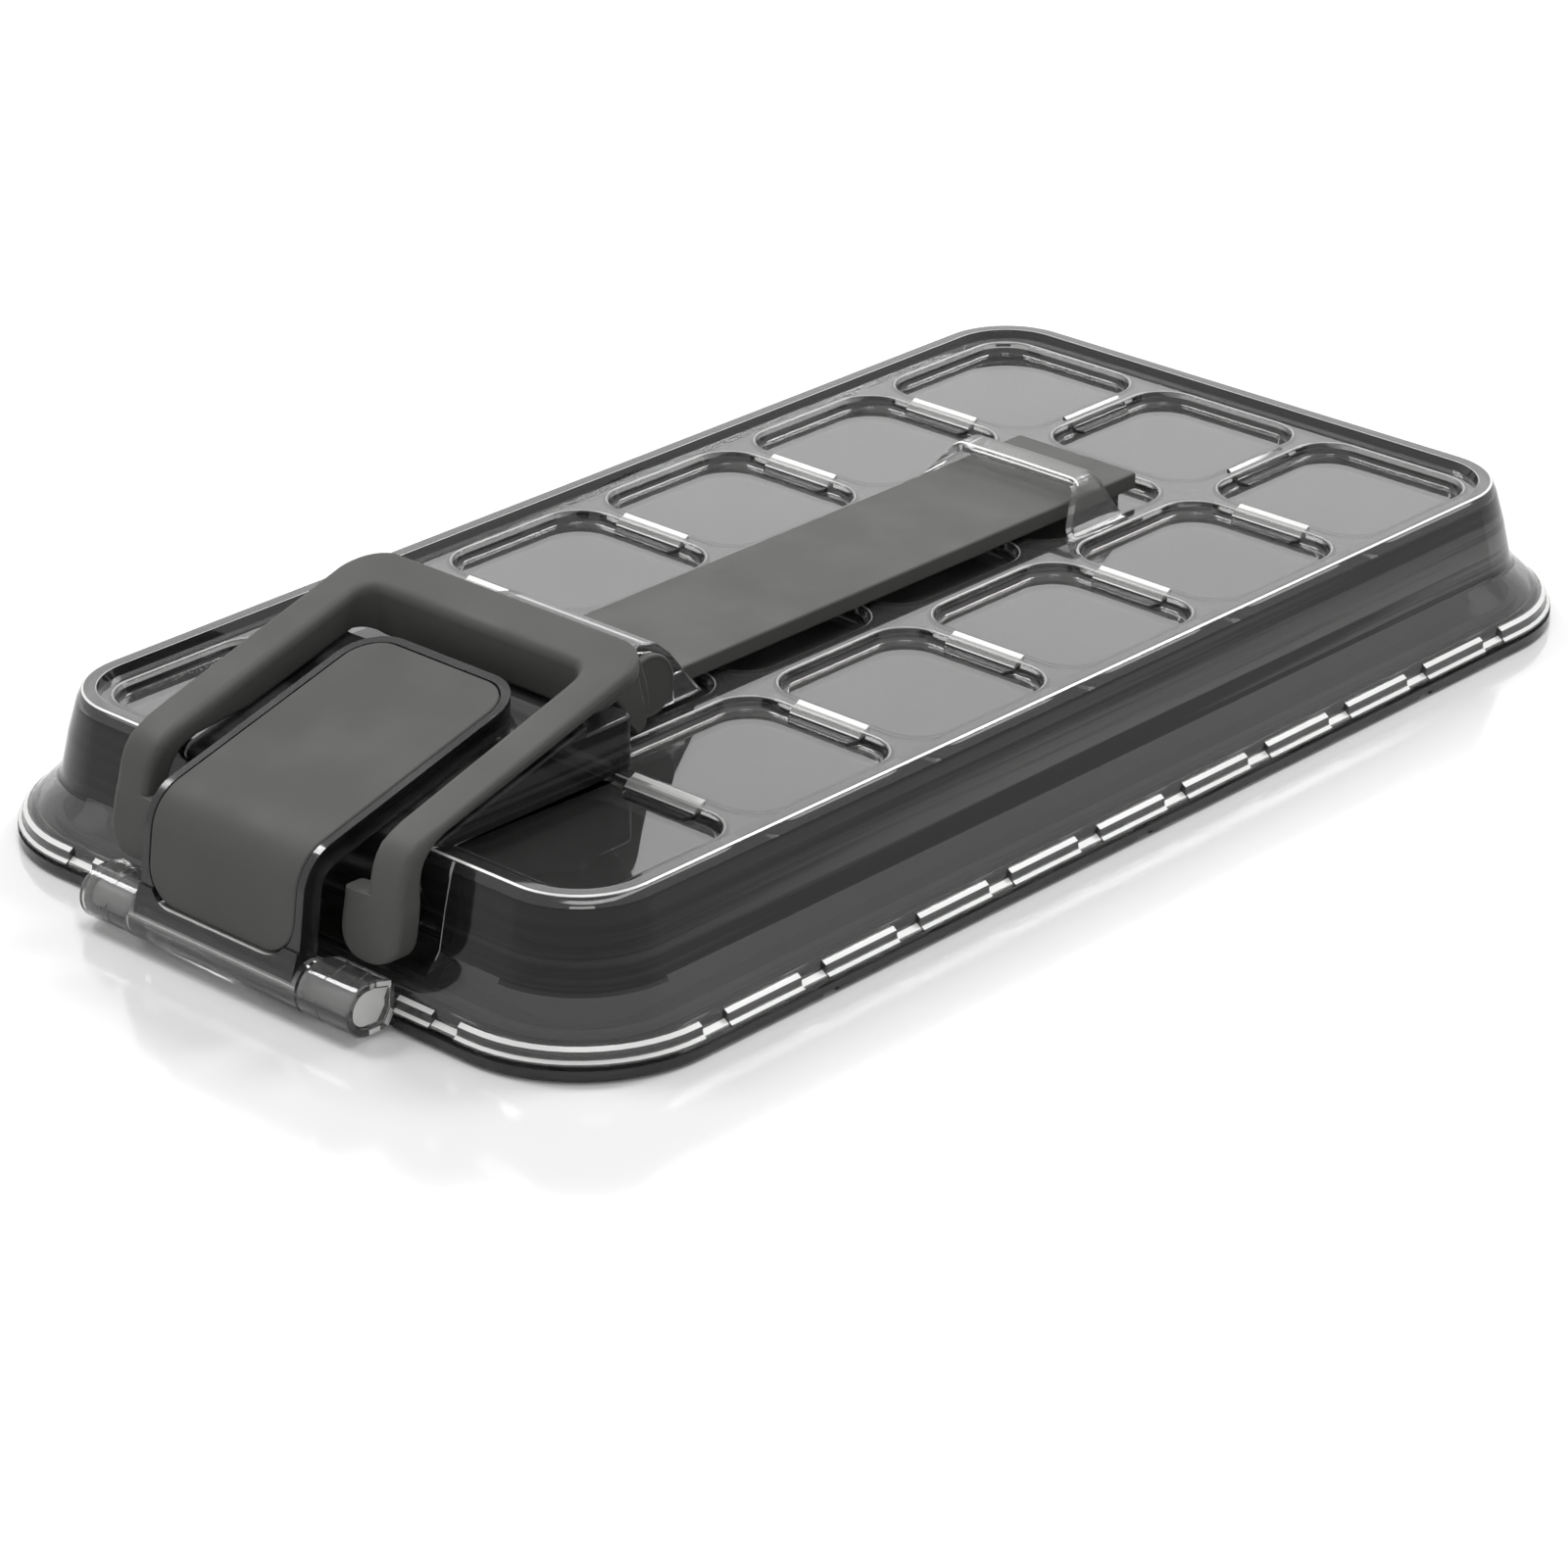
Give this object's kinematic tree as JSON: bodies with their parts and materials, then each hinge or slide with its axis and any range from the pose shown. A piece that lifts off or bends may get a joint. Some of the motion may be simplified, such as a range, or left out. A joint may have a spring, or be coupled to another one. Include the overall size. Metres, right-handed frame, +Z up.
{
  "type": "lever ice cube tray",
  "caption": "Flat covered ice cube tray in smoke-grey plastic with a U-shaped lever, a draw bar and a hinged spout lid.",
  "frame": {"origin": "on the table, under the centre of the field of ice cells", "axes": "+X to the right, +Y away from the spout along the tray's length, +Z up"},
  "size_m": [0.1598, 0.2963, 0.0495],
  "materials": {
    "smoke_shell": "polished, see-through smoke grey",
    "clear_tray": "polished, see-through",
    "grey_plastic": "fine matte",
    "soft_pad": "soft-touch matte",
    "seal": "satin silicone",
    "pin_steel": "drawn"
  },
  "bodies": {
    "base": {"base_tray": "smoke_shell", "cell_grid": "clear_tray", "perimeter_seal": "seal"},
    "cover": {"cover_shell": "smoke_shell", "rim_rail": "smoke_shell", "far_bridge": "smoke_shell", "pivot_housing": "smoke_shell", "spout_collar": "seal", "hinge_knuckle_right": "smoke_shell", "hinge_knuckle_left": "smoke_shell", "lid_pin": "pin_steel"},
    "lever": {"lever_frame": "grey_plastic", "lever_axle": "pin_steel", "lever_cam": "grey_plastic", "pivot_disc_right": "grey_plastic", "pivot_disc_left": "grey_plastic"},
    "draw_bar": {"draw_bar": "grey_plastic", "bar_yoke": "grey_plastic", "bar_hook": "grey_plastic"},
    "spout_lid": {"lid_frame": "smoke_shell", "lid_pad": "soft_pad", "lid_gasket": "seal"}
  },
  "joints": [
    {"name": "cover_lift", "type": "slide", "parent": "base", "child": "cover", "axis": [0, 0, 1], "range_m": [0, 0.03]},
    {"name": "lever_lift", "type": "hinge", "parent": "cover", "child": "lever", "pos_m": [0, -0.0656, 0.033], "axis": [-1, 0, 0], "range_deg": [0, 95]},
    {"name": "bar_pull", "type": "slide", "parent": "cover", "child": "draw_bar", "axis": [0, -1, 0], "range_m": [0, 0.003]},
    {"name": "lid_open", "type": "hinge", "parent": "cover", "child": "spout_lid", "pos_m": [0, -0.1481, 0.0052], "axis": [1, 0, 0], "range_deg": [0, 95]}
  ],
  "couplings": [
    {"joint": "bar_pull", "follows": "lever_lift", "m_per_rad": 0.0018}
  ]
}
